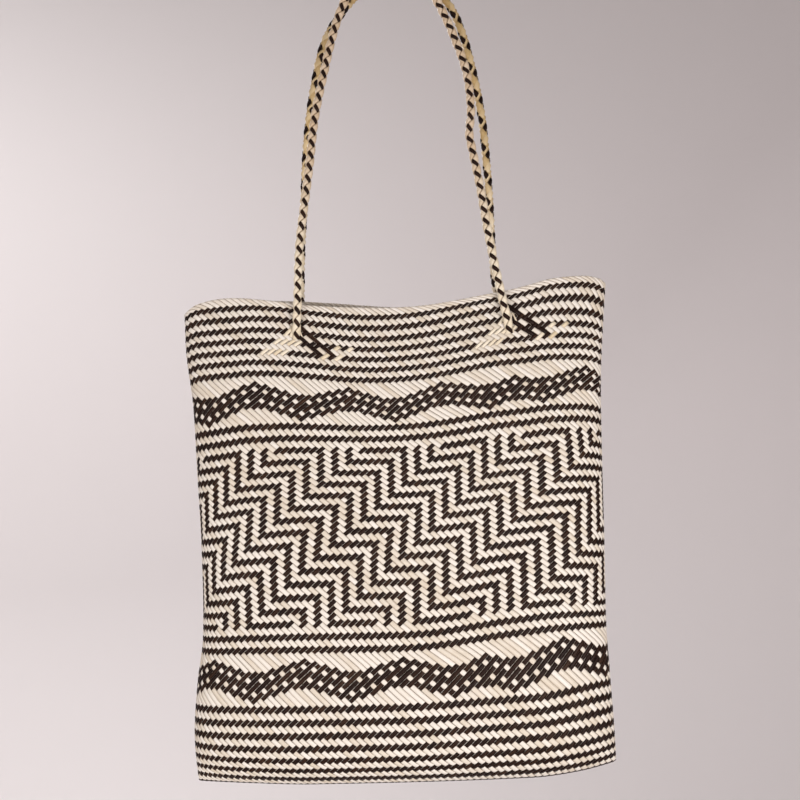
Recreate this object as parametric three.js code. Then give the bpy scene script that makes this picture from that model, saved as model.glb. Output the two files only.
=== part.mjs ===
// Rattan document bag: one plaited wall, open at the mouth and folded flat at the bottom,
// with two round-braided handles whose ends are worked into the wall.
// Millimetres, +Z up, the front towards -Y. The origin is the point that both handles hang from.
import * as THREE from 'three';

// Plaited wall
const wallThickness = 2;
const pieceGap = 0.3;
const bagCentreX = -6; // the handles were set a little to the right of the middle
const rimDipZ = -283; // lowest point of the front rim
const bagDepth = 394; // from that point down to the bottom fold
const sectionPower = 2.7; // 2 is an ellipse, more is squarer at the sides
const rollRadius = 44; // the walls roll under on this radius and meet at the fold
const foldHalfDepth = 1;
const innerFoldHalfDepth = 0.5;
const rimFade = 1.5; // how fast the waviness of the rim dies out downwards
const foldFade = 9; // how fast the lift of the bottom corners dies out upwards
const pointsAround = 64;
const wallSteps = 17;
const rollSteps = 7;

// Handles
const handleRadius = 3.75;
const handleSides = 10;
const handleSteps = 46;
const apexDepth = handleRadius + pieceGap; // half the distance between the two cords at the top
const rimHandleZ = -268;
const rimHandleDepth = 25.6;
const footDepth = 26.7; // the cords lie against the wall from here down
const footZ = -308;

// Handle ends worked into the wall
const tailThickness = 1.2;
const tailColumns = 4;
const tailRows = 4;

// Half width to each side and half depth of the wall, by the distance below the rim
const wallSections = [
  { down: 0, left: 178, right: 178, halfDepth: 22 },
  { down: 35, left: 177, right: 174.5, halfDepth: 23.5 },
  { down: 75, left: 172.3, right: 171.3, halfDepth: 26 },
  { down: 130, left: 170, right: 170, halfDepth: 28 },
  { down: 200, left: 167.5, right: 169.5, halfDepth: 30 },
  { down: 270, left: 168, right: 168.6, halfDepth: 32 },
  { down: 305, left: 173, right: 170, halfDepth: 33 },
  { down: 348, left: 176.5, right: 172, halfDepth: 33 },
  { down: 394, left: 174.5, right: 173.5, halfDepth: 33 },
];

// Height of the rim above its lowest point, from the left end to the right end
const rimWave = [
  { across: -1, front: 0.5, back: 0.5 },
  { across: -0.93, front: 7.8, back: 7.8 },
  { across: -0.79, front: 11.8, back: 12.5 },
  { across: -0.62, front: 9, back: 12.6 },
  { across: -0.45, front: 4.2, back: 11.2 },
  { across: -0.3, front: 1.6, back: 9.2 },
  { across: 0.1, front: 0, back: 4 },
  { across: 0.48, front: 9.7, back: 10 },
  { across: 0.6, front: 14, back: 14.4 },
  { across: 0.72, front: 19.7, back: 20 },
  { across: 0.82, front: 21.8, back: 22 },
  { across: 0.9, front: 22.3, back: 22.3 },
  { across: 0.96, front: 20.6, back: 20.6 },
  { across: 1, front: 17, back: 17 },
];

// Height of the bottom fold above its lowest point
const foldWave = [
  { across: -1, lift: 5.5 },
  { across: -0.75, lift: 2.5 },
  { across: -0.45, lift: 0 },
  { across: 0.6, lift: 0.5 },
  { across: 0.83, lift: 5 },
  { across: 1, lift: 12 },
];

// Distance of each leg of a handle from the hanging line, from the arch down to the foot
const frontLegs = [
  { z: 0, left: 18, right: 15 },
  { z: -10, left: 34, right: 29 },
  { z: -25, left: 43.5, right: 37.3 },
  { z: -50, left: 52, right: 48 },
  { z: -86, left: 61, right: 59 },
  { z: -119, left: 68.3, right: 61.8 },
  { z: -140, left: 71.3, right: 59.7 },
  { z: -155, left: 73, right: 62 },
  { z: -184, left: 77, right: 66.9 },
  { z: -230, left: 83.4, right: 73.2 },
  { z: -280, left: 86, right: 82 },
  { z: footZ, left: 88, right: 88 },
];
const backLegs = [
  { z: 0, left: 16, right: 22 },
  { z: -10, left: 29.5, right: 36.5 },
  { z: -25, left: 44, right: 49 },
  { z: -50, left: 60, right: 59 },
  { z: -86, left: 70, right: 67.5 },
  { z: -119, left: 76, right: 73 },
  { z: -150, left: 79.5, right: 75.5 },
  { z: -184, left: 82, right: 77.5 },
  { z: -230, left: 86, right: 79 },
  { z: -280, left: 88, right: 83 },
  { z: footZ, left: 88, right: 88 },
];

// Slanted patches below each foot, seen from outside: upper and lower edge, measured from the foot
const tails = [
  { tone: 'natural', upperZ: -1, upperFrom: -17, upperTo: 4, lowerZ: -15, lowerFrom: -34, lowerTo: -13 },
  { tone: 'black', upperZ: 8, upperFrom: 4.4, upperTo: 18.4, lowerZ: -15, lowerFrom: 16, lowerTo: 30 },
];

const finishes = {
  natural: { color: '#e9dabb', roughness: 0.5, metalness: 0 },
  black: { color: '#1f1612', roughness: 0.45, metalness: 0 },
};

function finish(tone) {
  return new THREE.MeshStandardMaterial(finishes[tone]);
}

// Reads one column of a table at any place between its rows, on a smooth curve through them
function readTable(table, key, column, place) {
  const last = table.length - 1;
  let row = 0;
  while (row < last - 1 && place > table[row + 1][key]) {
    row += 1;
  }
  const slopeAt = (index) => {
    const before = table[Math.max(index - 1, 0)];
    const after = table[Math.min(index + 1, last)];
    return (after[column] - before[column]) / (after[key] - before[key]);
  };
  const span = table[row + 1][key] - table[row][key];
  const t = THREE.MathUtils.clamp((place - table[row][key]) / span, 0, 1);
  const start = table[row][column];
  const end = table[row + 1][column];
  const rise = end - start;
  const startPull = slopeAt(row) * span - rise;
  const endPull = rise - slopeAt(row + 1) * span;
  return start + rise * t + t * (1 - t) * (startPull * (1 - t) + endPull * t);
}

function heightAt(across, isFront, down) {
  const share = THREE.MathUtils.clamp(down / bagDepth, 0, 1);
  const rim = readTable(rimWave, 'across', isFront ? 'front' : 'back', across);
  const lift = readTable(foldWave, 'across', 'lift', across);
  return rimDipZ - down + rim * (1 - share) ** rimFade + lift * share ** foldFade;
}

// Levels of one face of the wall from the rim to the fold. The inside face is set in by the thickness.
function wallLevels(inset, lastHalfDepth) {
  const rollHalfDepth = readTable(wallSections, 'down', 'halfDepth', bagDepth);
  const foldAngle = Math.acos(1 - rollHalfDepth / rollRadius);
  const rollStart = bagDepth - rollRadius * Math.sin(foldAngle);
  const faceRadius = rollRadius - inset;
  const lastAngle = Math.acos((lastHalfDepth + rollRadius - rollHalfDepth) / faceRadius);
  const levels = [];
  for (let step = 0; step < wallSteps; step += 1) {
    const down = (rollStart * step) / wallSteps;
    levels.push({ down, halfDepth: readTable(wallSections, 'down', 'halfDepth', down) - inset });
  }
  for (let step = 0; step <= rollSteps; step += 1) {
    const angle = (lastAngle * step) / rollSteps;
    levels.push({
      down: rollStart + faceRadius * Math.sin(angle),
      halfDepth: rollHalfDepth - rollRadius + faceRadius * Math.cos(angle),
    });
  }
  return levels.map((level) => ({
    ...level,
    left: readTable(wallSections, 'down', 'left', level.down) - inset,
    right: readTable(wallSections, 'down', 'right', level.down) - inset,
  }));
}

// One ring of the wall, anticlockwise from above: the first half is the back, the second the front
function ringPoints(level) {
  const points = [];
  for (let i = 0; i < pointsAround; i += 1) {
    const angle = (2 * Math.PI * i) / pointsAround;
    const across = Math.sign(Math.cos(angle)) * Math.abs(Math.cos(angle)) ** (2 / sectionPower);
    const deep = Math.sign(Math.sin(angle)) * Math.abs(Math.sin(angle)) ** (2 / sectionPower);
    const x = bagCentreX + across * (across < 0 ? level.left : level.right);
    const isFront = i > pointsAround / 2;
    points.push(x, level.halfDepth * deep, heightAt(across, isFront, level.down));
  }
  return points;
}

function solid(name, positions, indices, tone) {
  const geometry = new THREE.BufferGeometry();
  geometry.setAttribute('position', new THREE.Float32BufferAttribute(positions, 3));
  geometry.setIndex(indices);
  geometry.computeVertexNormals();
  const mesh = new THREE.Mesh(geometry, finish(tone));
  mesh.name = name;
  return mesh;
}

// The outside and inside faces, joined round the mouth and closed along the fold
function makeBagBody() {
  const faces = [wallLevels(0, foldHalfDepth), wallLevels(wallThickness, innerFoldHalfDepth)];
  const positions = faces.flatMap((levels) => levels.flatMap(ringPoints));
  const rings = faces[0].length;
  const at = (face, ring, i) => (face * rings + ring) * pointsAround + (i % pointsAround);
  const indices = [];
  const addQuad = (a, b, c, d, flip) => {
    const corners = flip ? [a, d, c, b] : [a, b, c, d];
    indices.push(corners[0], corners[1], corners[2], corners[0], corners[2], corners[3]);
  };
  for (let face = 0; face < 2; face += 1) {
    for (let ring = 0; ring < rings - 1; ring += 1) {
      for (let i = 0; i < pointsAround; i += 1) {
        const corners = [at(face, ring, i), at(face, ring + 1, i), at(face, ring + 1, i + 1), at(face, ring, i + 1)];
        addQuad(...corners, face === 1);
      }
    }
    addFoldCap(face, rings - 1, at, indices);
  }
  for (let i = 0; i < pointsAround; i += 1) {
    addQuad(at(0, 0, i), at(0, 0, i + 1), at(1, 0, i + 1), at(1, 0, i), false);
  }
  return solid('bag_body', positions, indices, 'natural');
}

// A narrow strip that joins the front and back edges of a face's last ring
function addFoldCap(face, ring, at, indices) {
  const half = pointsAround / 2;
  for (let i = 0; i < half; i += 1) {
    const front = at(face, ring, half + i);
    const nextFront = at(face, ring, half + i + 1);
    const back = at(face, ring, half - i);
    const nextBack = at(face, ring, half - i - 1);
    const triangles = [[front, back, nextBack], [front, nextBack, nextFront]];
    for (const [a, b, c] of triangles) {
      if (a !== b && b !== c && a !== c) {
        indices.push(...(face === 0 ? [a, b, c] : [a, c, b]));
      }
    }
  }
}

// Distance of the outside face from the middle plane at a place on the wall
function wallDepthAt(x, down) {
  const offset = x - bagCentreX;
  const across = offset / readTable(wallSections, 'down', offset < 0 ? 'left' : 'right', down);
  const halfDepth = readTable(wallSections, 'down', 'halfDepth', down);
  return { across, depth: halfDepth * (1 - Math.abs(across) ** sectionPower) ** (1 / sectionPower) };
}

// A round cord from the left foot over the arch to the right foot
function makeHandle(name, legs, side) {
  const depthAt = (z) => {
    const lean = (rimHandleDepth - apexDepth) * ((handleRadius - z) / (handleRadius - rimHandleZ));
    return side * Math.min(apexDepth + lean, footDepth);
  };
  const leftLeg = legs.map((leg) => new THREE.Vector3(-leg.left, depthAt(leg.z), leg.z));
  const rightLeg = legs.map((leg) => new THREE.Vector3(leg.right, depthAt(leg.z), leg.z));
  const apex = new THREE.Vector3(0, depthAt(handleRadius), handleRadius);
  const path = new THREE.CatmullRomCurve3([...leftLeg.reverse(), apex, ...rightLeg]);
  const section = new THREE.Shape();
  for (let i = 0; i < handleSides; i += 1) {
    const angle = (2 * Math.PI * i) / handleSides;
    const point = [handleRadius * Math.cos(angle), handleRadius * Math.sin(angle)];
    if (i === 0) {
      section.moveTo(...point);
    } else {
      section.lineTo(...point);
    }
  }
  section.closePath();
  const geometry = new THREE.ExtrudeGeometry(section, { steps: handleSteps, extrudePath: path, bevelEnabled: false });
  const mesh = new THREE.Mesh(geometry, finish('natural'));
  mesh.name = name;
  return mesh;
}

// A thin patch that lies on the wall below one foot. Seen from the back, left and right change places.
function makeTail(name, tail, footX, side) {
  const columns = tailColumns + 1;
  const rows = tailRows + 1;
  const positions = [];
  for (const lift of [pieceGap, pieceGap + tailThickness]) {
    for (let row = 0; row < rows; row += 1) {
      const t = row / tailRows;
      const z = footZ + THREE.MathUtils.lerp(tail.upperZ, tail.lowerZ, t);
      const from = THREE.MathUtils.lerp(tail.upperFrom, tail.lowerFrom, t);
      const to = THREE.MathUtils.lerp(tail.upperTo, tail.lowerTo, t);
      for (let column = 0; column < columns; column += 1) {
        const x = footX - side * THREE.MathUtils.lerp(from, to, column / tailColumns);
        const wall = wallDepthAt(x, rimDipZ - z + readTable(rimWave, 'across', 'front', 0.5));
        positions.push(x, side * (wall.depth + lift), z);
      }
    }
  }
  const at = (layer, row, column) => (layer * rows + row) * columns + column;
  const indices = [];
  const addQuad = (a, b, c, d) => indices.push(a, b, c, a, c, d);
  for (let row = 0; row < tailRows; row += 1) {
    for (let column = 0; column < tailColumns; column += 1) {
      addQuad(at(1, row, column), at(1, row + 1, column), at(1, row + 1, column + 1), at(1, row, column + 1));
      addQuad(at(0, row, column), at(0, row, column + 1), at(0, row + 1, column + 1), at(0, row + 1, column));
    }
    addQuad(at(0, row, 0), at(0, row + 1, 0), at(1, row + 1, 0), at(1, row, 0));
    const end = tailColumns;
    addQuad(at(1, row, end), at(1, row + 1, end), at(0, row + 1, end), at(0, row, end));
  }
  for (let column = 0; column < tailColumns; column += 1) {
    addQuad(at(0, 0, column), at(1, 0, column), at(1, 0, column + 1), at(0, 0, column + 1));
    const end = tailRows;
    addQuad(at(1, end, column), at(0, end, column), at(0, end, column + 1), at(1, end, column + 1));
  }
  return solid(name, positions, indices, tail.tone);
}

const bag = new THREE.Group();
bag.add(makeBagBody());

const handleSet = [
  { face: 'front', legs: frontLegs, side: -1 },
  { face: 'back', legs: backLegs, side: 1 },
];
for (const { face, legs, side } of handleSet) {
  bag.add(makeHandle(`${face}_handle`, legs, side));
  const foot = legs[legs.length - 1];
  const feet = [
    { end: 'left', x: -foot.left },
    { end: 'right', x: foot.right },
  ];
  for (const { end, x } of feet) {
    for (const tail of tails) {
      bag.add(makeTail(`${face}_${end}_${tail.tone}_tail`, tail, x, side));
    }
  }
}

export default bag;
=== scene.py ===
import math
import bpy
import numpy as np
from mathutils import Matrix, Vector


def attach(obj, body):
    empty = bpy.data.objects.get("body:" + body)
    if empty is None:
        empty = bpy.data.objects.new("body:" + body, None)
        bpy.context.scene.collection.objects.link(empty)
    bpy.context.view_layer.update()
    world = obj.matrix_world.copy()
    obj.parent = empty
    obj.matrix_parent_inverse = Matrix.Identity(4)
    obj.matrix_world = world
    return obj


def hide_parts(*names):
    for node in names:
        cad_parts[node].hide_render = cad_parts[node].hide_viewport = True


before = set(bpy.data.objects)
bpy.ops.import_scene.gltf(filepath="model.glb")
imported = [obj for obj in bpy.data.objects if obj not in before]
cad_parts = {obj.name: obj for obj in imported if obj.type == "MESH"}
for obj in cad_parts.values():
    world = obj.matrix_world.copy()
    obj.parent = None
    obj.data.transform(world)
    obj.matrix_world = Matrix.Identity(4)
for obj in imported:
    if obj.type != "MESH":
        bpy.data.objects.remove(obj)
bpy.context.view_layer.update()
mm = 0.001  # sizes below are in millimetres, meshes are in metres
random = np.random.default_rng(41)  # a fixed seed, so that every run lays the same strips


# Camera, set to the photo's view
photoView = {
    "place": (-0.0042, -0.933, -0.3919),  # metres, level with the upper half of the bag
    "lookUp": 2.0,  # degrees
    "lean": 1.6,  # degrees, the bag's right side stands a little higher
    "lens": 50.0,
    "sensor": 36.0,
}


def makeCamera():
    data = bpy.data.cameras.new("photoCamera")
    data.lens = photoView["lens"]
    data.sensor_width = photoView["sensor"]
    camera = bpy.data.objects.new("photoCamera", data)
    bpy.context.collection.objects.link(camera)
    tilt = Matrix.Rotation(math.radians(90 + photoView["lookUp"]), 4, "X")
    lean = Matrix.Rotation(math.radians(-photoView["lean"]), 4, "Z")
    camera.matrix_world = Matrix.Translation(photoView["place"]) @ tilt @ lean
    bpy.context.scene.camera = camera


makeCamera()
print("camera set")


# Materials
def hexColour(code):  # sRGB hex to the linear colour that shaders take
    parts = [int(code[i:i + 2], 16) / 255 for i in (1, 3, 5)]
    linear = [p / 12.92 if p <= 0.04045 else ((p + 0.055) / 1.055) ** 2.4 for p in parts]
    return (*linear, 1.0)


def addNode(tree, kind, settings=None, links=None):
    node = tree.nodes.new(kind)
    for name, value in (settings or {}).items():
        if name == "stops":  # colours by their places along a ramp
            for place, code in value[1:-1]:
                node.color_ramp.elements.new(place)
            for element, (place, code) in zip(node.color_ramp.elements, value):
                element.position = place
                element.color = hexColour(code)
        elif isinstance(name, str) and hasattr(node, name):
            setattr(node, name, value)
        else:
            node.inputs[name].default_value = value
    for name, source in (links or {}).items():
        tree.links.new(source, node.inputs[name])
    return node


# Split rattan core, scraped flat: fine fibres run along each strip, and its edges are painted darker than its
# face, a painted shade for the gaps between strips
rattanGrain = {
    "fibreWidth": 0.8,  # mm, real fibres are finer, they are drawn as coarse as they need to show
    "fibreLength": 26.0,  # mm
    "blotchLength": 15.0,  # mm, how far one shade runs along a strip
    "stretchApart": 173.0,  # keeps the strips' own stretches of the noise apart
    "fibreHeight": 0.05,  # mm
    "bumpStrength": 0.5,
    "edgeFrom": 1.15,  # mm from the middle of a strip, where the painted shade at its edges begins
    "edgeFull": 1.75,  # mm, where it is darkest
    "glossSpread": (-0.1, 0.12),  # smoothest and roughest fibres against the strip's own roughness
    "ior": 1.5,
    "topShadeHeights": (-270.0, -130.0),  # mm, heights between which the handles turn from pale straw to a darker tan, a painted shade darkest towards the top
}
# Undyed strips: cream with a satin face, each a little paler or browner than the next
naturalFinish = {
    "stops": [(0.0, "#bca68b"), (0.28, "#d8cab7"), (0.55, "#e6dccf"), (0.8, "#ede4da"), (1.0, "#f3ece4")],
    # edge colour and how much of it shows: painted shade along the strip's edges
    "edge": "#a68c70",
    "edgeShare": 0.55,
    "toneWeight": 0.42,  # how far a strip's own shade, its blotches and its fibres move along the stops
    "blotchWeight": 0.5,
    "fibreWeight": 0.3,
    "roughness": 0.46,
    "sheen": 0.4,
}
# Ends of the handle strands, undyed too: a warmer straw
strawFinish = {
    **naturalFinish,
    "stops": [(0.0, "#c0a47a"), (0.28, "#dbc7a6"), (0.55, "#ebdcc3"), (0.8, "#f1e5d1"), (1.0, "#f6ecdd")],
    # edge colour: painted shade along the strand's edges
    "edge": "#a68760",
}
# Front handle: the same straw smoothed by hands, darkening towards the top to a tan that is painted shade
topShadedFinish = {
    **strawFinish,
    "tannedShadedStops": [
        (0.0, "#a07f58"), (0.28, "#c4a782"), (0.55, "#d6bda0"), (0.8, "#e2ceb6"), (1.0, "#ecdecb")],
    # edge colour and how much of it shows: painted shade along the strand's edges
    "edge": "#8a6a45",
    "edgeShare": 0.6,
    "roughness": 0.44,
}
# Back handle: yellowed further by light, and like the front darkening towards the top to a tan that is
# painted shade
yellowedFinish = {
    **topShadedFinish,
    "tannedShadedStops": [
        (0.0, "#8f6c3a"), (0.28, "#b9985f"), (0.55, "#d0b484"), (0.8, "#dec79e"), (1.0, "#e8d7b6")],
    # edge colour: painted shade along the strand's edges
    "edge": "#765327",
}
# Dyed in a mud or leaf bath: brown-black, browner where the dye took less, with the same satin face
blackFinish = {
    "stops": [(0.0, "#110704"), (0.35, "#1c0d07"), (0.55, "#27140b"), (0.75, "#3c2719"), (1.0, "#604634")],
    # edge colour and how much of it shows: painted shade along the strip's edges
    "edge": "#0b0605",
    "edgeShare": 0.5,
    "toneWeight": 0.22,
    "blotchWeight": 0.45,
    "fibreWeight": 0.6,
    "roughness": 0.46,
    "sheen": 0.13,
}


def makeRattan(name, finish):
    material = bpy.data.materials.new(name)
    material.use_nodes = True
    tree = material.node_tree
    tree.nodes.clear()
    marks = addNode(tree, "ShaderNodeAttribute", {"attribute_name": "plait"})
    parts = addNode(tree, "ShaderNodeSeparateXYZ", links={0: marks.outputs["Vector"]})
    along, across, tone = parts.outputs
    # every strip reads its own stretch of the noise
    ownPlace = addNode(tree, "ShaderNodeMath", {"operation": "MULTIPLY", 1: rattanGrain["stretchApart"]},
                       {0: tone})
    fibreAlong = addNode(tree, "ShaderNodeMath", {"operation": "DIVIDE", 1: rattanGrain["fibreLength"]},
                         {0: along})
    fibreAcross = addNode(tree, "ShaderNodeMath", {"operation": "DIVIDE", 1: rattanGrain["fibreWidth"]},
                          {0: across})
    fibrePlace = addNode(tree, "ShaderNodeCombineXYZ", links={
        0: fibreAlong.outputs[0], 1: fibreAcross.outputs[0], 2: ownPlace.outputs[0]})
    fibre = addNode(tree, "ShaderNodeTexNoise", {"Scale": 1.0, "Detail": 3.0, "Roughness": 0.6},
                    {"Vector": fibrePlace.outputs[0]})
    blotchAlong = addNode(tree, "ShaderNodeMath", {"operation": "DIVIDE", 1: rattanGrain["blotchLength"]},
                          {0: along})
    blotchPlace = addNode(tree, "ShaderNodeCombineXYZ", links={
        0: blotchAlong.outputs[0], 2: ownPlace.outputs[0]})
    blotch = addNode(tree, "ShaderNodeTexNoise", {"Scale": 1.0, "Detail": 2.0, "Roughness": 0.5},
                     {"Vector": blotchPlace.outputs[0]})
    # shade of the strip, then its blotches, then its fibres, about the middle of the stops
    weights = finish["toneWeight"], finish["blotchWeight"], finish["fibreWeight"]
    toneShade = addNode(tree, "ShaderNodeMath", {
        "operation": "MULTIPLY_ADD", 1: finish["toneWeight"], 2: 0.5 - 0.5 * sum(weights)}, {0: tone})
    blotchShade = addNode(tree, "ShaderNodeMath", {"operation": "MULTIPLY_ADD", 1: finish["blotchWeight"]},
                          {0: blotch.outputs["Fac"], 2: toneShade.outputs[0]})
    shade = addNode(tree, "ShaderNodeMath", {"operation": "MULTIPLY_ADD", 1: finish["fibreWeight"]},
                    {0: fibre.outputs["Fac"], 2: blotchShade.outputs[0]})
    ramp = addNode(tree, "ShaderNodeValToRGB", {"stops": finish["stops"]}, {0: shade.outputs[0]})
    face = ramp.outputs["Color"]
    # painted shade: from the handles' lower part upwards the colour turns darker towards the top
    if "tannedShadedStops" in finish:
        tannedShaded = addNode(tree, "ShaderNodeValToRGB", {"stops": finish["tannedShadedStops"]}, {0: shade.outputs[0]})
        where = addNode(tree, "ShaderNodeTexCoord")
        height = addNode(tree, "ShaderNodeSeparateXYZ", links={0: where.outputs["Object"]})
        low, high = rattanGrain["topShadeHeights"]
        topShade = addNode(tree, "ShaderNodeMapRange", {
            "interpolation_type": "SMOOTHSTEP", "From Min": low * mm, "From Max": high * mm},
            {"Value": height.outputs[2]})
        face = addNode(tree, "ShaderNodeMix", {"data_type": "RGBA"},
                       {0: topShade.outputs[0], 6: face, 7: tannedShaded.outputs["Color"]}).outputs[2]
    # painted shade: each strip is darkened towards its edges, where the gaps between strips fall into shade
    side = addNode(tree, "ShaderNodeMath", {"operation": "ABSOLUTE"}, {0: across})
    edge = addNode(tree, "ShaderNodeMapRange", {
        "interpolation_type": "SMOOTHSTEP", "From Min": rattanGrain["edgeFrom"],
        "From Max": rattanGrain["edgeFull"], "To Max": finish["edgeShare"]}, {"Value": side.outputs[0]})
    colour = addNode(tree, "ShaderNodeMix", {"data_type": "RGBA", 7: hexColour(finish["edge"])},
                     {0: edge.outputs[0], 6: face})
    smoothest, roughest = rattanGrain["glossSpread"]
    gloss = addNode(tree, "ShaderNodeMapRange", {
        "To Min": finish["roughness"] + smoothest, "To Max": finish["roughness"] + roughest},
        {"Value": fibre.outputs["Fac"]})
    bump = addNode(tree, "ShaderNodeBump", {
        "Strength": rattanGrain["bumpStrength"], "Distance": rattanGrain["fibreHeight"] * mm},
        {"Height": fibre.outputs["Fac"]})
    shader = addNode(tree, "ShaderNodeBsdfPrincipled", {
        "IOR": rattanGrain["ior"], "Specular IOR Level": finish["sheen"]}, {
        "Base Color": colour.outputs[2], "Roughness": gloss.outputs[0], "Normal": bump.outputs[0]})
    addNode(tree, "ShaderNodeOutputMaterial", links={0: shader.outputs[0]})
    return material


naturalRattan = makeRattan("natural_rattan_strip", naturalFinish)
topShadedRattan = makeRattan("top_shaded_rattan_strand", topShadedFinish)
yellowedRattan = makeRattan("yellowed_rattan_strand", yellowedFinish)
strawRattan = makeRattan("straw_rattan_strand", strawFinish)
blackRattan = makeRattan("black_dyed_rattan_strip", blackFinish)
print("materials made")


# The wall's middle surface
wall = {
    "centreX": -6.0,
    "rimDipZ": -283.0,  # lowest point of the front rim
    "depth": 394.0,  # from there to the bottom fold
    "thickness": 2.0,
    "sectionPower": 2.7,  # 2 is an ellipse, more is squarer at the sides
    "rollRadius": 44.0,  # the walls roll under on this radius
    "rimFade": 1.5,  # power that takes the rim's wave out further down
    "foldFade": 9.0,  # power that keeps the fold's lift to the bottom
    "ringGap": 1.0,  # between the rings that the surface is worked out from
    "ringPoints": 1024,  # on each of the front and back
}
# distance below the rim, half width to the left, to the right, half depth
wallSections = [
    (0, 178, 178, 22), (35, 177, 174.5, 23.5), (75, 172.3, 171.3, 26), (130, 170, 170, 28),
    (200, 167.5, 169.5, 30), (270, 168, 168.6, 32), (305, 173, 170, 33), (348, 176.5, 172, 33),
    (394, 174.5, 173.5, 33),
]
# place across from left -1 to right 1, height of the front rim, of the back rim
rimWave = [
    (-1, 0.5, 0.5), (-0.93, 7.8, 7.8), (-0.79, 11.8, 12.5), (-0.62, 9, 12.6), (-0.45, 4.2, 11.2),
    (-0.3, 1.6, 9.2), (0.1, 0, 4), (0.48, 9.7, 10), (0.6, 14, 14.4), (0.72, 19.7, 20), (0.82, 21.8, 22),
    (0.9, 22.3, 22.3), (0.96, 20.6, 20.6), (1, 17, 17),
]
# place across, lift of the bottom fold
foldWave = [(-1, 5.5), (-0.75, 2.5), (-0.45, 0), (0.6, 0.5), (0.83, 5), (1, 12)]


def smoothCurve(rows, column, at):  # a smooth curve through a table's rows, read at any places
    places = np.array([row[0] for row in rows], float)
    values = np.array([row[column] for row in rows], float)
    last = len(rows) - 1
    before = np.maximum(np.arange(last + 1) - 1, 0)
    after = np.minimum(np.arange(last + 1) + 1, last)
    slopes = (values[after] - values[before]) / (places[after] - places[before])
    row = np.clip(np.searchsorted(places, at) - 1, 0, last - 1)
    span = places[row + 1] - places[row]
    t = np.clip((at - places[row]) / span, 0, 1)
    rise = values[row + 1] - values[row]
    startPull = slopes[row] * span - rise
    endPull = rise - slopes[row + 1] * span
    return values[row] + rise * t + t * (1 - t) * (startPull * (1 - t) + endPull * t)


# The plait: places round the bag run from the left side over the front, rows run down from the rim
plait = {
    "around": 264,  # half steps round the bag, so 132 strip ends of each colour come to the rim
    "toFold": 165,  # rows from the rim to the bottom fold
    "samples": 4,  # surface samples to each step
    "lift": 0.42,  # mm that a strip rides over or under the middle
    "rimTurn": 0.55,  # rows over which the strips turn over the rim
    "rimCentre": -0.44,  # mm, middle of the turned rim
    "rimRows": (0.5, 0.25, -0.25, -0.5, -1),  # rows at which a pale strip is bent round the rim
    "turnedRows": 3.0,  # rows that the turned ends run down inside
    "darkFrom": 1,  # row at which the dark strips stop, under the pale top row
    "mouthRows": (25, 45),  # rows over which strips narrow towards the mouth, to their mouthShare
}
# row, mm down the wall
rowSpacing = [
    (0, 0), (4.5, 8), (12.5, 25.9), (28.5, 59.9), (46.5, 99.1), (58.5, 126.9), (78.5, 173.1), (94.5, 214.2),
    (118.5, 277.6), (124.5, 292.2), (136.5, 325), (148.5, 356.4), (156.5, 377), (160.5, 388.7), (165, 408),
]
# Hand-laid rows stray: each drift is a share by place across the front times mm down the wall by row
rowDrifts = {
    "leftSag": (
        [(0, 1.35), (10, 1.3), (19, 1.08), (28, 0.9), (37, 0.55), (46, 0.3), (56, 0.1), (66, 0), (132, 0)],
        [(0, 0), (5, -0.8), (20, -0.6), (35, 1), (50, 5), (65, 6.2), (85, 6.3), (105, 4.4),
         (120, 1.6), (150, 1.2), (165, 0)],
    ),
    "rightClimb": (
        [(0, 0), (66, 0), (77, 0.15), (87, 0.5), (97, 0.75), (115, 1), (132, 1)],
        [(0, 0), (50, 0), (70, 0), (85, -1), (105, -5), (120, -8.6), (136, -5.7), (150, -3.8), (165, 0)],
    ),
    "rimSwell": (
        [(0, 0), (28, 0), (46, 1), (56, 1), (66, 0), (77, -1), (87, -1.7), (97, -1.6), (106, -1.4),
         (118, -1), (132, -0.6)],
        [(0, 0), (5, 1.7), (20, 1.5), (35, 1.3), (50, 0.8), (65, 0), (165, 0)],
    ),
    "underRim": (
        [(0, -2.5), (3, -2.5), (10, 1.5), (17, 2.5), (22, 0.7), (28, -1), (33, -2.5), (38, -3.3),
         (46, -3.3), (51, -2.1), (57, -1.2), (66, 0), (132, 0)],
        [(0, 0), (4, 0.75), (10, 0.9), (29, 0.78), (46, 0.65), (78, 0.42), (95, 0.31), (118, 0.16),
         (136, 0.07), (165, 0)],
    ),
    "rightCorner": (
        [(0, 0), (84, 0), (97, -0.25), (106, 0.3), (115, 0.85), (123, 1.15), (132, 1.25)],
        [(0, 0), (4, 0), (9, 1.6), (13, 3.1), (21, 3.8), (29, 3.6), (46, 2.6), (78, 1.7), (118, 0.65),
         (165, 0)],
    ),
    "rightRipple": (
        [(0, 0), (77, 0), (97, -0.7), (106, -0.8), (115, 0.2), (123, 1), (132, 1)],
        [(0, 0), (78, 0), (90, 1.6), (108, 1.6), (118, 0.4), (128, -1), (138, -2.2), (150, -0.6), (165, 0)],
    ),
}
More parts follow.
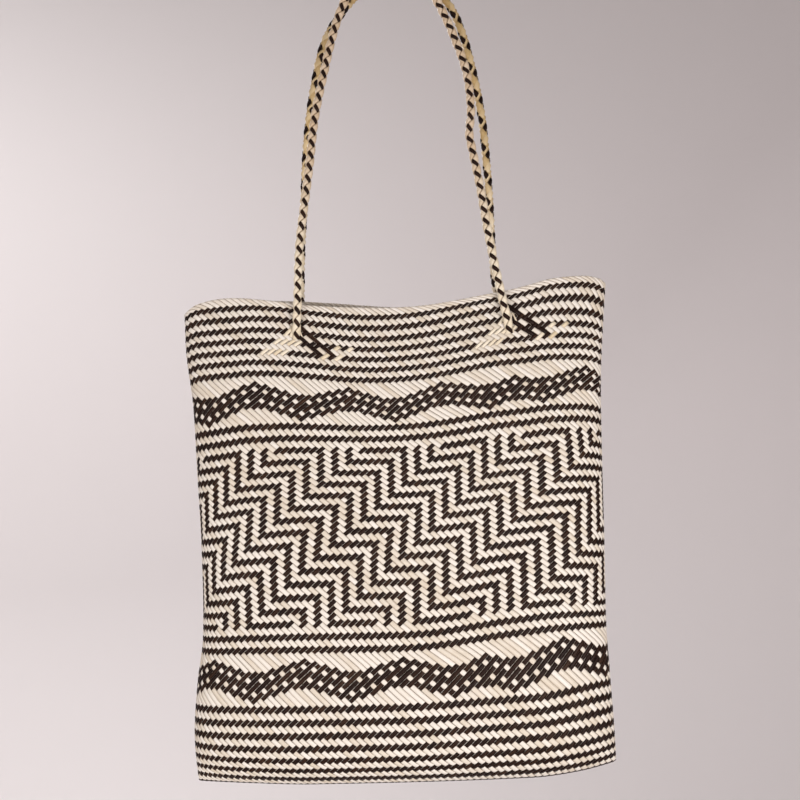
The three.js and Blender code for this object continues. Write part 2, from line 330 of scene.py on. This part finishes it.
# the same for the strips' spacing round the bag, in steps
spacingDrifts = {
    "lean": (
        [(0, 0), (14, 1), (118, 1), (132, 0)],
        [(0, 0), (45, 0), (58, 0.45), (70, 0.4), (80, 0), (90, -1), (105, -1.6), (118, -1.9),
         (130, -2), (165, -2)],
    ),
    "leftSpread": (
        [(0, 0), (10, 0.7), (19, 1), (28, 0.95), (37, 0.75), (46, 0.5), (56, 0.3), (77, 0.12),
         (90, 0), (132, 0)],
        [(0, -0.3), (20, -0.6), (38, -1.1), (60, -3.3), (90, -3.9), (110, -2.4), (125, -1.7),
         (150, -1.1), (165, -1)],
    ),
    "rightSpread": (
        [(0, 0), (60, 0), (77, 0.3), (87, 0.6), (97, 0.8), (106, 1), (115, 1), (123, 0.7), (132, 0)],
        [(0, 0.3), (38, 0.3), (60, 1), (90, 1.3), (125, 2.7), (150, 2), (165, 1.5)],
    ),
    "rightLag": (
        [(0, 0), (60, 0), (77, 0.5), (87, 1), (97, 1), (106, 0.4), (115, -1), (123, -0.9), (132, 0)],
        [(0, 0), (45, 0), (58, -0.9), (75, -1.2), (92, -0.3), (110, 0), (165, 0)],
    ),
    "middleSlip": (
        [(0, 0), (46, 0), (60, 1), (97, 1), (112, 0), (132, 0)],
        [(0, -0.9), (12, -0.6), (26, -0.5), (38, -0.8), (52, 0), (165, 0)],
    ),
    "rightGather": (
        [(0, 0), (66, 0), (77, 0.3), (97, 0.35), (106, 0.6), (115, 1), (123, 1), (132, 0)],
        [(0, 0), (74, 0), (84, 0.6), (92, 1.5), (100, 1.6), (108, 1.3), (117, 1.1), (130, 1),
         (150, 0.9), (165, 0.9)],
    ),
    "leftWave": (
        [(0, 0), (10, 1), (19, 1), (26, 0), (132, 0)],
        [(0, 0), (24, 0), (34, -0.7), (44, -0.8), (52, 0), (165, 0)],
    ),
}


def sumDrifts(drifts, places, rows):
    return sum(smoothCurve(down, 1, rows)[:, None] * smoothCurve(across, 1, places)[None, :]
               for across, down in drifts.values())


def wallRings():  # points of the middle surface by ring and place, evenly spread round each ring
    inset = wall["thickness"] / 2
    rollDepth = wallSections[-1][3]
    rollStart = wall["depth"] - wall["rollRadius"] * math.sin(math.acos(1 - rollDepth / wall["rollRadius"]))
    faceRadius = wall["rollRadius"] - inset
    lastTurn = math.acos((wall["rollRadius"] - rollDepth) / faceRadius)  # here front and back meet
    length = rollStart + faceRadius * lastTurn
    arcs = np.linspace(0, length, int(length / wall["ringGap"]) + 1)
    turn = np.maximum(arcs - rollStart, 0) / faceRadius
    down = np.where(turn > 0, rollStart + faceRadius * np.sin(turn), arcs)
    halfDepth = np.where(turn > 0, rollDepth - wall["rollRadius"] + faceRadius * np.cos(turn),
                         smoothCurve(wallSections, 3, down) - inset)
    left = smoothCurve(wallSections, 1, down) - inset
    right = smoothCurve(wallSections, 2, down) - inset
    half = plait["around"] // 2
    steps = np.arange(half * plait["samples"] + 1) / plait["samples"]
    rings = np.zeros((len(arcs), plait["around"] * plait["samples"], 3))
    for isFront in (True, False):
        angle = np.linspace(0, math.pi, wall["ringPoints"])
        across = np.sign(np.cos(angle)) * np.abs(np.cos(angle)) ** (2 / wall["sectionPower"])
        across = -across if isFront else across
        deep = np.sin(angle) ** (2 / wall["sectionPower"]) * (-1 if isFront else 1)
        rim = smoothCurve(rimWave, 1 if isFront else 2, across)
        lift = smoothCurve(foldWave, 1, across)
        for ring in range(len(arcs)):
            share = min(down[ring] / wall["depth"], 1)
            x = wall["centreX"] + across * np.where(across < 0, left[ring], right[ring])
            y = deep * halfDepth[ring]
            z = wall["rimDipZ"] - down[ring] + rim * (1 - share) ** wall["rimFade"]
            z = z + lift * share ** wall["foldFade"]
            walk = np.concatenate([[0], np.cumsum(np.hypot(np.diff(x), np.diff(y)))])
            places = walk[-1] * steps / half
            spread = np.stack([np.interp(places, walk, part) for part in (x, y, z)], axis=1)
            begin = 0 if isFront else half * plait["samples"]
            rings[ring, begin:begin + half * plait["samples"]] = spread[:-1]
    return arcs, rings


def readBetween(grid, down, aside):  # reads a grid that closes on itself sideways
    top = np.clip(np.floor(down).astype(int), 0, grid.shape[0] - 2)
    left = np.floor(aside).astype(int)
    downPart = (down - top)[..., None]
    asidePart = (aside - left)[..., None]
    left = left % grid.shape[1]
    right = (left + 1) % grid.shape[1]
    upper = grid[top, left] * (1 - asidePart) + grid[top, right] * asidePart
    lower = grid[top + 1, left] * (1 - asidePart) + grid[top + 1, right] * asidePart
    return upper * (1 - downPart) + lower * downPart


def wallGrid():  # the surface by row and place, with its outward and upward directions
    arcs, rings = wallRings()
    rows = np.arange(plait["toFold"] + 1)
    places = np.arange(plait["around"] * plait["samples"]) / plait["samples"]
    isFront = places <= plait["around"] / 2
    mirrored = np.where(isFront, places, plait["around"] - places)  # the back drifts as the front does
    arc = (smoothCurve(rowSpacing, 1, rows) * arcs[-1] / rowSpacing[-1][1])[:, None]
    arc = arc + sumDrifts(rowDrifts, mirrored, rows)
    place = places + np.where(isFront, 1, -1) * sumDrifts(spacingDrifts, mirrored, rows)
    nearFold = len(arcs) - 1.0001  # just short of the last ring, where front and back would touch
    down = np.clip(arc / (arcs[1] - arcs[0]), 0, nearFold)
    aside = np.mod(place, plait["around"]) * plait["samples"]
    points = readBetween(rings, down, aside)
    alongRing = np.roll(points, -1, axis=1) - np.roll(points, 1, axis=1)
    downWall = np.gradient(points, axis=0)
    outward = np.cross(downWall, alongRing)
    size = np.linalg.norm(outward, axis=2, keepdims=True)
    sideways = np.sign(points[..., :1] - wall["centreX"]) * np.array([1.0, 0, 0])
    tiny = 1e-4  # at the ends of the fold the surface has no outward direction of its own
    outward = np.where(size > tiny, outward / np.maximum(size, tiny), sideways)
    upward = -downWall / np.linalg.norm(downWall, axis=2, keepdims=True)
    return points, outward, upward


gridPoints, gridOutward, gridUpward = wallGrid()
print("wall surface ready:", gridPoints.shape[0], "rows of", gridPoints.shape[1])


def readGrid(grid, place, row):
    return readBetween(grid, row, np.mod(place, plait["around"]) * plait["samples"])


def onWall(place, row, height):
    # Past the fold a strip goes on up the other wall, above the rim it turns over and runs down inside.
    pastFold = row > plait["toFold"]
    place = np.where(pastFold, plait["around"] - place, place)
    row = np.where(pastFold, 2 * plait["toFold"] - row, row)
    turn = 0.5 * math.pi * (1 - np.clip(row / plait["rimTurn"], -1, 1))
    inside = np.where(np.abs(row) < plait["rimTurn"], plait["rimTurn"], np.abs(row))
    point = readGrid(gridPoints, place, inside)
    outward = readGrid(gridOutward, place, inside)
    upward = readGrid(gridUpward, place, inside)
    reach = (height - plait["rimCentre"])[..., None]
    turn = turn[..., None]
    return point + outward * (plait["rimCentre"] + reach * np.cos(turn)) + upward * reach * np.sin(turn)


# Pattern: which colour lies on top at a crossing
darkRepeat = 4  # rows or columns from one dark pair to the next
darkWidth = 2  # rows or columns in a dark pair
# level rows: first row, last row, first dark row
plainRows = [(0, 29, 4), (46, 53, 46), (112, 119, 114), (136, 165, 136)]
# stairs: bars that go down and across by turns, their lengths follow round the bag
steppedBand = {"first": 54, "last": 111, "start": 2, "bars": [12] * 15 + [14, 16, 10, 12, 10, 12, 10]}
# wave bands: peak row, place of the first valley, steps up to each peak in turn round the bag
waveBands = [
    {"first": 30, "last": 45, "peak": 34, "valley": 10, "climbs": [4, 4, 4, 2, 4, 4, 2, 3, 2, 3, 2, 2]},
    {"first": 120, "last": 135, "peak": 124, "valley": 26, "climbs": [4, 4, 2, 4, 4, 2, 3, 2, 3, 2, 2, 4]},
]
dotLines = {
    "depth": 4,  # rows from the highest peak of the upper line of dots to its valleys
    "apart": 4,  # rows from the upper line to the lower
    "shift": 2,  # places that the lower line's dots stand aside
    "step": 3,  # places to each row that a line of dots climbs
    "reach": 2.5,  # rows of black beyond the lines of dots
}


def waveLines(band):  # upper and lower line of dots as corner points, and the dots on both
    upper, lower, dots = [], [], set()
    around = plait["around"]
    apart = dotLines["apart"]
    shift = dotLines["shift"]
    valley = band["valley"]
    low = band["peak"] + dotLines["depth"]
    for climb in band["climbs"]:
        top = low - climb
        peak = valley + shift + dotLines["step"] * climb
        nextValley = peak + dotLines["step"] * climb + shift
        upper += [(valley + shift, low), (peak, top), (nextValley - shift, low)]
        lower += [(valley, low + apart), (peak - shift, top + apart), (peak + shift, top + apart),
                  (nextValley, low + apart)]
        for fall in range(climb + 1):
            aside = dotLines["step"] * fall
            for side in (-1, 1):
                dots.add(((peak + side * aside) % around, top + fall))
                dots.add(((peak + side * (shift + aside)) % around, top + apart + fall))
        valley = nextValley
    return upper, lower, dots


def readLine(line, place):
    places = [corner[0] for corner in line]
    rows = [corner[1] for corner in line]
    return np.interp(places[0] + (place - places[0]) % plait["around"], places, rows)


def makeChart():  # True where black lies on top, by place and row
    place, row = np.meshgrid(np.arange(plait["around"]), np.arange(plait["toFold"] + 1), indexing="ij")
    black = np.zeros(place.shape, bool)
    for first, last, dark in plainRows:
        black |= (row >= dark) & (row <= last) & ((row - dark) % darkRepeat < darkWidth)
    band = steppedBand
    inBand = (row >= band["first"]) & (row <= band["last"])
    edges = band["start"] + np.cumsum([0] + band["bars"])
    diagonal = band["start"] + (place + row - band["start"]) % plait["around"]
    bar = np.searchsorted(edges, diagonal, side="right") - 1
    darkColumn = edges[bar] - band["first"] - 1  # one place before the bar's own edge
    columns = (place - darkColumn) % darkRepeat < darkWidth
    levels = (row - band["first"]) % darkRepeat < darkWidth
    stepped = np.where(bar % 2 == 0, columns, levels)
    black = np.where(inBand, stepped, black)
    for wave in waveBands:
        upper, lower, dots = waveLines(wave)
        inWave = (row >= wave["first"]) & (row <= wave["last"])
        fromRow = readLine(upper, place) - dotLines["reach"]
        toRow = readLine(lower, place) + dotLines["reach"]
        filled = (row >= fromRow) & (row <= toRow)
        black = np.where(inWave, filled, black)
        for dotPlace, dotRow in dots:
            black[dotPlace, dotRow] = False
    return black


chart = makeChart()


def blackOnTop(place, row):
    pastFold = row > plait["toFold"]
    place = np.where(pastFold, plait["around"] - place, place)
    row = np.where(pastFold, 2 * plait["toFold"] - row, row)
    return chart[np.mod(place, plait["around"]), row]


# Ribbons
# section of a strip: share of the way to its edges, mm above the strip's middle
stripShape = [(-1, -0.22), (1, -0.22), (0.96, 0.1), (0, 0.26), (-0.96, 0.1)]
stepLength = 3.5  # mm along a strip from one crossing to the next
stripHalf = 1.7  # mm from the middle of a strip to its edge
bandShare = 0.92  # how much of its own band in the bake map a strip fills


def newPile():
    return {"points": [], "plait": [], "quads": [], "uv": [], "caps": [], "count": 0, "rows": 0}


def addTube(pile, points, along, across, tone):  # points by section and by place round the section
    sections, sides = points.shape[:2]
    ids = pile["count"] + np.arange(sections * sides).reshape(sections, sides)
    pile["points"].append(points.reshape(-1, 3) * mm)
    marks = [np.repeat(along, sides), np.tile(across, sections), np.full(sections * sides, tone)]
    pile["plait"].append(np.stack(marks, axis=1))
    nextSide = np.roll(ids, -1, axis=1)
    pile["quads"].append(np.stack([ids[:-1], nextSide[:-1], nextSide[1:], ids[1:]], axis=2).reshape(-1, 4))
    u = np.broadcast_to(((along - along[0]) / (along[-1] - along[0]))[:, None], (sections, sides))
    low = np.broadcast_to((np.arange(sides) / sides)[None, :], (sections, sides))
    high = low + 1 / sides
    corners = [(u[:-1], low[:-1]), (u[:-1], high[:-1]), (u[1:], high[1:]), (u[1:], low[1:])]
    quadUv = np.stack([np.stack(corner, axis=2) for corner in corners], axis=2)
    quadUv[..., 1] = quadUv[..., 1] * bandShare + (1 - bandShare) / 2 + pile["rows"]
    pile["uv"].append(quadUv.reshape(-1, 2))
    pile["caps"] += [ids[0][::-1].tolist(), ids[-1].tolist()]
    pile["count"] += sections * sides
    pile["rows"] += 1


def addRibbon(pile, place, row, height, aside, width, tone):  # a strip laid on the wall along places and rows
    shape = np.array(stripShape)
    offset = 0.5 * np.reshape(width, (-1, 1)) * shape[None, :, 0]
    places = place[:, None] + offset * aside[0]
    rows = row[:, None] + offset * aside[1]
    heights = height[:, None] + shape[None, :, 1]
    walk = np.concatenate([[0], np.cumsum(np.hypot(np.diff(place), np.diff(row)))])
    walk = walk * stepLength / math.sqrt(2)  # a crossing is one place aside and one row down
    addTube(pile, onWall(places, rows, heights), walk, shape[:, 0] * stripHalf, tone)


def makePiece(name, pile, material, slotName, *nodes):
    mesh = bpy.data.meshes.new(name)
    quads = np.concatenate(pile["quads"])
    mesh.from_pydata(np.concatenate(pile["points"]).tolist(), [], quads.tolist() + pile["caps"])
    marks = mesh.attributes.new("plait", "FLOAT_VECTOR", "POINT")
    marks.data.foreach_set("vector", np.concatenate(pile["plait"]).astype(np.float32).ravel())
    uv = np.zeros((len(mesh.loops), 2), np.float32)
    quadUv = np.concatenate(pile["uv"])
    quadUv[:, 1] /= pile["rows"]
    uv[:len(quadUv)] = quadUv
    mesh.uv_layers.new(name="OFBake").data.foreach_set("uv", uv.ravel())
    mesh.shade_smooth()
    mesh.materials.append(material)
    piece = bpy.data.objects.new(name, mesh)
    bpy.context.collection.objects.link(piece)
    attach(piece, "root")
    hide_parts(*nodes)


# Plaited wall: 66 whole strips of each colour, each down one wall, round the fold and up the other
stripSets = {
    "natural": {
        "first": 100,  # place of the first strip at the rim
        "slant": 1,  # places that it goes aside for each row
        "width": 0.975,  # share of its room between the next strips
        "widthSpread": 0.035,
        "mouthShare": 1.0,  # share of the width that is kept near the mouth
        "pieces": 2,
    },
    "black": {
        "first": 34,
        "slant": -1,
        "width": 0.905,
        "widthSpread": 0.06,
        "mouthShare": 0.945,
        "pieces": 2,
    },
}
stripsEach = plait["around"] // 4  # each has two ends at the rim


def stripCourse(start, slant, isNatural):  # places, rows and heights of one strip from rim to rim
    whole = 2 * plait["toFold"]
    steps = np.arange(whole + 1)
    isOver = blackOnTop(start + slant * steps, steps) != isNatural
    level = np.where(isOver, plait["lift"], -plait["lift"])
    changes = np.nonzero(isOver[1:] != isOver[:-1])[0]
    row = np.concatenate([steps, changes + 0.5])
    height = np.concatenate([level, np.zeros(len(changes))])
    if isNatural:
        turned = np.array([*plait["rimRows"], -plait["turnedRows"]])
        row = np.concatenate([row, turned, whole - turned])
        height = np.concatenate([height, np.full(2 * len(turned), plait["lift"])])
    order = np.argsort(row, kind="stable")
    row, height = row[order], height[order]
    if not isNatural:  # the dark strips stop under the pale top row
        inner = (row >= plait["darkFrom"]) & (row <= whole - plait["darkFrom"])
        row, height = row[inner], height[inner]
    return start + slant * row, row, height


def makeWall():
    for colour, strips in stripSets.items():
        isNatural = colour == "natural"
        material = naturalRattan if isNatural else blackRattan
        aside = (1, -1) if isNatural else (1, 1)
        perPiece = stripsEach // strips["pieces"]
        for part in range(strips["pieces"]):
            pile = newPile()
            for i in range(part * perPiece, (part + 1) * perPiece):
                place, row, height = stripCourse(strips["first"] + 2 * i, strips["slant"], isNatural)
                toMouth = np.minimum(row, 2 * plait["toFold"] - row)
                width = strips["width"] + strips["widthSpread"] * random.uniform(-1, 1)
                width = width * np.interp(toMouth, plait["mouthRows"], (strips["mouthShare"], 1))
                addRibbon(pile, place, row, height, aside, width, random.random())
            makePiece(f"{colour}_strips_{part + 1}", pile, material, f"{colour}_rattan", "bag_body")
        print(colour, "strips laid:", stripsEach)


makeWall()


# Handles: four-strand round braids
handle = {
    "radius": 3.75,
    "gap": 0.3,  # half the space between the two handles where they meet
    "rimZ": -268.0,
    "rimDepth": 25.6,
    "footDepth": 26.7,
    "strandRadius": 2.5,  # mm from the cord's middle to the strands' middle
    "strandThick": 0.7,  # mm, half
    "weave": 0.55,  # mm that a strand rides out and in
    "steep": 4.0,  # how quickly it changes from over to under
    "sides": 8,
    "sectionsPerTurn": 32,
    "pathPoints": 4000,
    "footFlat": 20.0,  # mm over which the foot flattens and goes into the wall
    "footDeep": 0.35,  # share of its depth that the cord keeps at the end of the foot
    "flatPower": 0.7,
    "footSink": 5.5,
    "sinkPower": 1.5,
}
# height, distance of the left leg and of the right leg from the hanging line
frontLegs = [
    (0, 18, 15), (-10, 34, 29), (-25, 43.5, 37.3), (-50, 52, 48), (-86, 61, 59), (-119, 68.3, 61.8),
    (-140, 71.3, 59.7), (-155, 73, 62), (-184, 77, 66.9), (-230, 83.4, 73.2), (-280, 86, 82), (-308, 88, 88),
]
backLegs = [
    (0, 16, 22), (-10, 29.5, 36.5), (-25, 44, 49), (-50, 60, 59), (-86, 70, 67.5), (-119, 76, 73),
    (-150, 79.5, 75.5), (-184, 82, 77.5), (-230, 86, 79), (-280, 88, 83), (-308, 88, 88),
]
# strands of a braid: colour, direction round the cord, start in turns, half width in mm
braids = {
    "front": {
        "legs": frontLegs,
        "side": -1,
        "pale": topShadedRattan,
        "turn": 20.22,  # mm along the cord for a strand to go once round
        "begin": 3.1,  # mm along it at which the dark strands come to the face
        "overAngle": 0.15,  # how far round from the face they ride over
        "cover": 0.0,  # how far pale edges cover dark ones
        "strands": [
            ("black", -1, 0.0, 1.45), ("black", -1, 0.5, 1.45),
            ("natural", 1, 0.0, 3.2), ("natural", 1, 0.5, 3.2),
        ],
    },
    "back": {
        "legs": backLegs,
        "side": 1,
        "pale": yellowedRattan,
        "turn": 23.34,
        "begin": 2.2,
        "overAngle": 0.8,
        "cover": 0.15,
        "strands": [
            ("black", -1, 0.0, 2.1), ("natural", -1, 0.5, 4.3),
            ("black", 1, 0.43, 1.5), ("natural", 1, -0.04, 4.5),
        ],
    },
}


def handlePath(legs, side):  # close points from the left foot to the right, and the length up to each
    apexDepth = handle["radius"] + handle["gap"]

    def depthAt(z):
        lean = (handle["rimDepth"] - apexDepth) * (handle["radius"] - z) / (handle["radius"] - handle["rimZ"])
        return side * min(apexDepth + lean, handle["footDepth"])

    corners = [(-left, depthAt(z), z) for z, left, right in reversed(legs)]
    corners.append((0, depthAt(handle["radius"]), handle["radius"]))
    corners += [(right, depthAt(z), z) for z, left, right in legs]
    corners = np.array(corners, float)
    walk = np.concatenate([[0], np.cumsum(np.linalg.norm(np.diff(corners, axis=0), axis=1))])
    dense = np.linspace(0, walk[-1], handle["pathPoints"])
    line = np.stack([smoothCurve(list(zip(walk, corners[:, axis])), 1, dense) for axis in range(3)], axis=1)
    length = np.concatenate([[0], np.cumsum(np.linalg.norm(np.diff(line, axis=0), axis=1))])
    return line, length


def makeBraid(face, braid):
    line, length = handlePath(braid["legs"], braid["side"])
    sections = int(length[-1] / braid["turn"] * handle["sectionsPerTurn"])
    at = np.linspace(0, length[-1], sections)
    middle = np.stack([np.interp(at, length, line[:, axis]) for axis in range(3)], axis=1)
    heading = np.gradient(middle, axis=0)
    heading /= np.linalg.norm(heading, axis=1, keepdims=True)
    outward = np.array([0.0, braid["side"], 0.0]) - heading * (heading[:, 1:2] * braid["side"])
    outward /= np.linalg.norm(outward, axis=1, keepdims=True)
    sideways = np.cross(heading, outward)
    toFoot = np.clip(np.minimum(at, length[-1] - at) / handle["footFlat"], 0, 1)
    flat = handle["footDeep"] + (1 - handle["footDeep"]) * toFoot ** handle["flatPower"]
    sink = (1 - toFoot) ** handle["sinkPower"] * handle["footSink"]
    piles = {"natural": newPile(), "black": newPile()}
    ring = 2 * math.pi * np.arange(handle["sides"]) / handle["sides"]
    for colour, way, start, halfWidth in braid["strands"]:
        # strands lie round the cord, so that a broad one bends with it
        slope = 2 * math.pi * handle["strandRadius"] / braid["turn"]
        aside = np.cos(ring) * halfWidth / math.hypot(1, slope)
        turns = way * (at - braid["begin"]) / braid["turn"] + start
        angle = (2 * math.pi * turns + braid["overAngle"])[:, None] + aside / handle["strandRadius"]
        place = at[:, None] - way * slope * aside[None, :]
        # it goes over one strand of the other direction and under the next
        around = angle - braid["overAngle"]
        ahead = 2 * math.pi * (place - braid["begin"]) / braid["turn"]
        cells = (np.cos(around + ahead) - braid["cover"]) * (np.cos(around - ahead) - braid["cover"])
        over = -way * np.tanh(handle["steep"] * cells)
        thick = np.sin(ring) * handle["strandThick"]
        radius = handle["strandRadius"] + handle["weave"] * over + thick
        basis = [np.stack([np.interp(place, at, part[:, axis]) for axis in range(3)], axis=2)
                 for part in (middle, outward, sideways)]
        flatHere = np.interp(place, at, flat)
        sinkHere = np.interp(place, at, sink)
        points = basis[0] + (np.cos(angle) * radius * flatHere - sinkHere)[..., None] * basis[1]
        points = points + (np.sin(angle) * radius)[..., None] * basis[2]
        addTube(piles[colour], points, at, np.cos(ring) * stripHalf, random.random())
    for colour, pile in piles.items():
        material = braid["pale"] if colour == "natural" else blackRattan
        makePiece(f"{face}_handle_{colour}_strands", pile, material, f"{colour}_rattan", f"{face}_handle")
    print(face, "handle braided:", round(length[-1]), "mm")


for face, braid in braids.items():
    makeBraid(face, braid)


# Handle ends worked into the wall: pale ends follow dark strips, dark ends follow pale strips
tail = {
    "footRow": 12.0,
    "fanAbove": 1.5,  # rows above it from which the pale ends fan out
    "fanApart": 0.5,  # places between them there
    "naturalFrom": 11.0,  # first dark strip that a pale end follows, in steps from the foot
    "naturalCount": 4,
    "naturalRow": 15,  # row at which pale ends come to their strips
    "blackFrom": -12.5,  # first pale strip that a dark end follows
    "blackCount": 2,
    "blackApart": 4,  # places from one dark end to the next
    "blackRow": 13,  # row at which the first dark end comes to its strip
    "blackEarlier": 3,  # rows by which the next comes to its own higher up
    "blackLead": ((2.0, 2.4), (1.1, 1.2)),  # places and rows before that at which it comes out and rises
    "leadHeights": {"natural": (1.6, 1.3), "black": (0.2, 0.8)},  # mm above the wall on the way there
    "over": 0.5,  # mm above the strip that it doubles
    "underShare": 0.2,  # share of that where it goes under
    "changeShare": 0.6,  # and where it changes from one to the other
    "lastRow": 22,
    "width": {"natural": 0.78, "black": 0.92},
    "returnRows": (16, 22),  # a pale end also doubles the dark strip beyond the end of each dark tail
    "returnWidth": 0.9,
}


def footPlace(x, isFront):
    half = plait["around"] // 2
    places = np.arange(0, half, 1 / plait["samples"]) + (0 if isFront else half)
    points = readGrid(gridPoints, places, np.full(len(places), tail["footRow"]))
    return places[np.argmin(np.abs(points[:, 0] - x))]


def tailCourse(colour, foot, index):  # places, rows and heights of one handle end
    firstBlack = 2 * round((foot + tail["blackFrom"]) / 2)
    isReturn = colour == "natural" and index >= tail["naturalCount"]
    if isReturn:
        turn = index - tail["naturalCount"]
        strip = firstBlack + tail["blackApart"] * turn + 2 * (tail["lastRow"] - 1)
        slant = -1
        rows = np.arange(tail["returnRows"][0], tail["returnRows"][1] + 1)
    elif colour == "natural":
        strip = 2 * round((foot + tail["naturalFrom"]) / 2) + 2 * index
        slant = -1
        rows = np.arange(tail["naturalRow"], tail["lastRow"] + 1)
    else:
        strip = firstBlack + tail["blackApart"] * index
        slant = 1
        rows = np.arange(tail["blackRow"] - tail["blackEarlier"] * index, tail["lastRow"] - 1)
    places = strip + slant * rows
    isOver = blackOnTop(places, rows) == (colour == "natural")
    overLevel = plait["lift"] + tail["over"]
    underLevel = -plait["lift"] + tail["over"] * tail["underShare"]
    level = np.where(isOver, overLevel, underLevel)
    changes = np.nonzero(isOver[1:] != isOver[:-1])[0]
    row = np.concatenate([rows, rows[0] + changes + 0.5])
    height = np.concatenate([level, np.full(len(changes), tail["over"] * tail["changeShare"])])
    order = np.argsort(row)
    row, height = row[order].astype(float), height[order]
    place = strip + slant * row
    if isReturn:
        return place, row, height
    if colour == "natural":
        fan = foot + (index - 0.5 * (tail["naturalCount"] - 1)) * tail["fanApart"]
        fanRow = tail["footRow"] - tail["fanAbove"]
        leadPlaces = [fan, 0.5 * (fan + place[0])]
        leadRows = [fanRow, 0.5 * (fanRow + row[0])]
    else:
        leadPlaces = [place[0] - aside for aside, above in tail["blackLead"]]
        leadRows = [row[0] - above for aside, above in tail["blackLead"]]
    return (np.concatenate([leadPlaces, place]), np.concatenate([leadRows, row]),
            np.concatenate([tail["leadHeights"][colour], height]))


def makeTails():
    for face, braid in braids.items():
        isFront = face == "front"
        lowest = braid["legs"][-1]
        for end, x in (("left", -lowest[1]), ("right", lowest[2])):
            foot = footPlace(x, isFront)
            for colour in ("natural", "black"):
                pile = newPile()
                aside = (1, 1) if colour == "natural" else (1, -1)
                own = tail[f"{colour}Count"]
                returns = tail["blackCount"] if colour == "natural" else 0
                for index in range(own + returns):
                    place, row, height = tailCourse(colour, foot, index)
                    width = tail["width"][colour] if index < own else tail["returnWidth"]
                    addRibbon(pile, place, row, height, aside, width, random.random())
                material = strawRattan if colour == "natural" else blackRattan
                name = f"{face}_{end}_{colour}_tail"
                makePiece(f"{name}_strands", pile, material, f"{colour}_rattan", name)
    print("handle ends worked in")


makeTails()


# Pale studio: a floor that curves up all round, and soft light
studio = {
    "floorZ": -1.25,  # metres, as all lengths of the studio
    "flatRadius": 1.5,
    "coveRadius": 0.9,
    "coveSteps": 12,
    "sides": 96,
    "wallTop": 1.6,
    "colour": "#efe9e9",
    "roughness": 0.9,
    "skyColour": "#f4f1ee",
    "skyStrength": 0.285,
}


def makeFloor():
    profile = [(0, studio["floorZ"]), (studio["flatRadius"], studio["floorZ"])]
    for step in range(1, studio["coveSteps"] + 1):
        angle = 0.5 * math.pi * step / studio["coveSteps"]
        profile.append((studio["flatRadius"] + studio["coveRadius"] * math.sin(angle),
                        studio["floorZ"] + studio["coveRadius"] * (1 - math.cos(angle))))
    profile.append((studio["flatRadius"] + studio["coveRadius"], studio["wallTop"]))
    sides = studio["sides"]
    points, faces = [], []
    for radius, z in profile:
        for side in range(sides):
            angle = 2 * math.pi * side / sides
            points.append((radius * math.cos(angle), radius * math.sin(angle), z))
    for ring in range(len(profile) - 1):
        for side in range(sides):
            a, b = ring * sides + side, ring * sides + (side + 1) % sides
            faces.append((a, b, b + sides, a + sides))
    mesh = bpy.data.meshes.new("paleFloor")
    mesh.from_pydata(points, [], faces)
    mesh.validate()
    mesh.shade_smooth()
    # Matt painted paper: a soft grey with no gloss
    material = bpy.data.materials.new("painted_backdrop_paper")
    material.use_nodes = True
    shader = material.node_tree.nodes["Principled BSDF"]
    shader.inputs["Base Color"].default_value = hexColour(studio["colour"])
    shader.inputs["Roughness"].default_value = studio["roughness"]
    mesh.materials.append(material)
    floor = bpy.data.objects.new("paleFloor", mesh)
    bpy.context.collection.objects.link(floor)


# name, place in metres, what it lights, width, power in watts, spread in degrees
softLights = [
    ("keyLight", (0.75, -1.35, -0.8), (-0.03, 0, -0.56), 0.8, 3.4, 80),
    ("fillLight", (-0.9, -1.3, -0.75), (-0.03, 0, -0.56), 0.9, 1.95, 80),
    ("topLight", (-0.4, -1.3, 0.5), (0, 0, -0.3), 0.6, 1.8, 180),
    ("backLight", (-0.6, 1.4, 0.5), (0, 0, -0.42), 1.2, 15.0, 180),
    ("wallLight", (-0.9, 0.9, 0.3), (-1.3, 2.3, -0.2), 0.8, 9.2, 180),
]


def makeLights():
    for name, place, target, width, power, spread in softLights:
        data = bpy.data.lights.new(name, "AREA")
        data.shape = "DISK"
        data.size = width
        data.energy = power
        data.spread = math.radians(spread)
        light = bpy.data.objects.new(name, data)
        bpy.context.collection.objects.link(light)
        aim = Vector(target) - Vector(place)
        light.matrix_world = Matrix.Translation(place) @ aim.to_track_quat("-Z", "Y").to_matrix().to_4x4()
    world = bpy.data.worlds.new("softSky")
    bpy.context.scene.world = world
    world.use_nodes = True
    sky = world.node_tree.nodes["Background"]
    sky.inputs["Color"].default_value = hexColour(studio["skyColour"])
    sky.inputs["Strength"].default_value = studio["skyStrength"]
    bpy.context.scene.view_settings.view_transform = "Standard"


makeFloor()
makeLights()
print("studio set")
